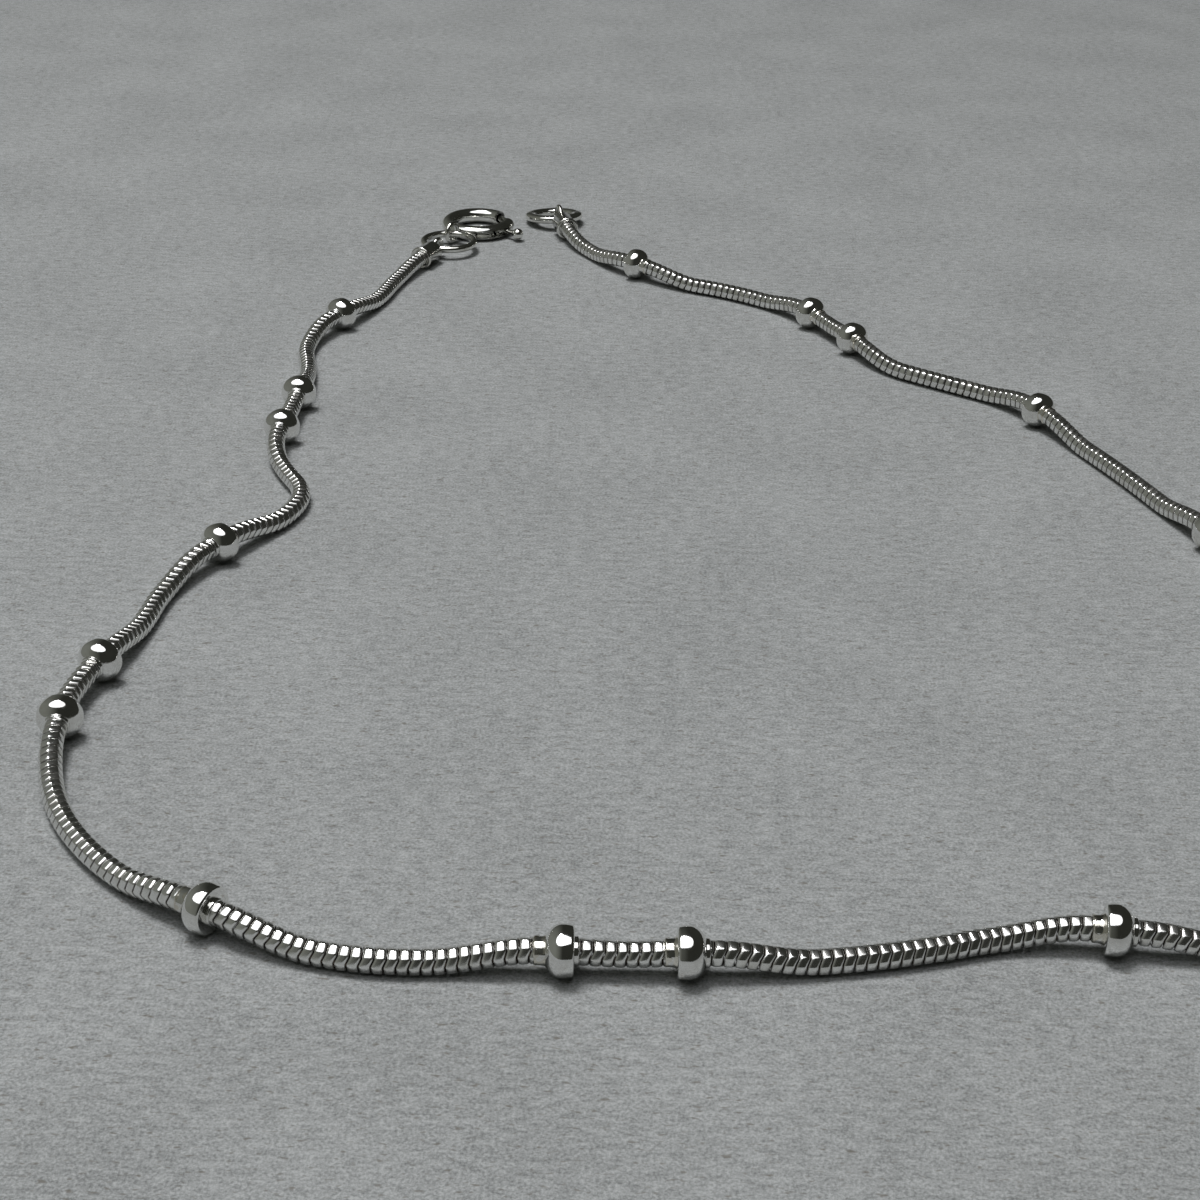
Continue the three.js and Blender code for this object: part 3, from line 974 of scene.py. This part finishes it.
rim_eye = bend_wire(
    "rim_eye", RIM_EYE_RADIUS, EYE_WIRE, 0.0, 360.0, 32, clasp_silver, sides=EYE_SIDES
)
rim_eye.data.transform(Matrix.Rotation(math.pi / 2, 4, "X"))
rim_eye.data.transform(Matrix.Translation((SPRING_EYE_REACH * MM, 0, RIM_EYE_LIFT * MM)))
rim_eye.data.transform(Matrix.Rotation(math.radians(SPRING_EYE_ANGLE), 4, "Z"))
spring_ring = move(join("spring_ring_tube", spring_ring, rim_eye), spring_place)
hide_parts("spring_ring")
print("spring ring at", [round(c, 2) for c in spring_place])

# %% [markdown]
# ## Bolt and lug
# Inside the tube a curved wire, the bolt, is pushed by a spring across the mouth. Its thumb lug is
# a stem with a domed knob. Bolt and lug are the one part that moves.

# %% The bolt with its thumb lug
LUG_ANGLE = -34.0
LUG_REACH = 3.75
LUG_STEM = 0.19
KNOB = 0.42
BOLT_WIRE = 0.25
BOLT_ARC = (-46.0, 51.0)

bolt_wire = bend_wire("bolt_wire", SPRING_RADIUS, BOLT_WIRE, *BOLT_ARC, 32, clasp_silver, sides=16)
knob_dome = quarter((LUG_REACH, 0.0), (KNOB, KNOB), 150, 0, 12)
stem = [(SPRING_RADIUS, 0.0), (SPRING_RADIUS, LUG_STEM), (LUG_REACH - 0.4, LUG_STEM)]
lug = move(turn("lug", stem + knob_dome, 24, clasp_silver), (0, 0, 0), LUG_ANGLE)
bolt = move(join("bolt_and_lug", bolt_wire, lug), spring_place)
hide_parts("clasp_bolt")
print("bolt:", len(bolt.data.polygons), "faces")

# %% [markdown]
# ## Catch ring
# At the other end a flat ring, stamped and soldered shut, hooks onto the open clasp. Its edges are
# tumbled round. It leans, because its near side lies in the end cap's eye.

# %% The flat ring
CATCH_RADIUS = 1.75
CATCH_HALF_WIDTH = 0.45
CATCH_HALF_THICKNESS = 0.3
CATCH_ROUNDING = 0.75
CATCH_SIDES = 24
CATCH_HEIGHT = 0.58
CATCH_NEAR_LIFT = 0.5


def make_catch_ring():
    """A flat band round Z with rounded edges."""
    corners = []
    for k in range(CATCH_SIDES):
        angle = 2 * math.pi * k / CATCH_SIDES
        out = math.copysign(abs(math.cos(angle)) ** CATCH_ROUNDING, math.cos(angle))
        up = math.copysign(abs(math.sin(angle)) ** CATCH_ROUNDING, math.sin(angle))
        corners.append((CATCH_RADIUS + CATCH_HALF_WIDTH * out, CATCH_HALF_THICKNESS * up))
    mesh = bpy.data.meshes.new("catch_ring_band")
    ring = [Vector((r, 0, z)) * MM for r, z in corners]
    edges = [(k, (k + 1) % CATCH_SIDES) for k in range(CATCH_SIDES)]
    mesh.from_pydata(ring, edges, [])
    band = bpy.data.objects.new("catch_ring_band", mesh)
    bpy.context.scene.collection.objects.link(band)
    select_only(band)
    bpy.ops.object.mode_set(mode="EDIT")
    bpy.ops.mesh.select_all(action="SELECT")
    bpy.ops.mesh.spin(steps=56, angle=2 * math.pi, center=(0, 0, 0), axis=(0, 0, 1))
    bpy.ops.mesh.select_all(action="SELECT")
    bpy.ops.mesh.remove_doubles(threshold=WELD)
    bpy.ops.mesh.normals_make_consistent(inside=False)
    bpy.ops.object.mode_set(mode="OBJECT")
    bpy.ops.object.shade_smooth_by_angle(angle=math.radians(CREASE))
    mesh.materials.append(clasp_silver)
    return band


catch_eye = onward((catch_x, catch_y), CATCH_EYE[1], catch_way)
catch_middle = onward(catch_eye, CATCH_RADIUS, catch_way)
catch_lean = math.degrees(math.asin(CATCH_NEAR_LIFT / (2 * CATCH_RADIUS)))
catch_ring = move(make_catch_ring(), (*catch_middle, CATCH_HEIGHT), catch_way, catch_lean)
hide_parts("catch_ring")
print("catch ring at", [round(c, 2) for c in catch_middle], "leaning", round(catch_lean, 1))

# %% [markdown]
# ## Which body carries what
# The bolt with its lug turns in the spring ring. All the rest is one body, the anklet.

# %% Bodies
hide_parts("snake_chain")
for rondelle in rondelles:
    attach(rondelle, "anklet")
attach(links, "anklet")
for piece in (clasp_cap, jump_ring, spring_ring, catch_cap, catch_ring):
    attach(piece, "anklet")
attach(bolt, "bolt")
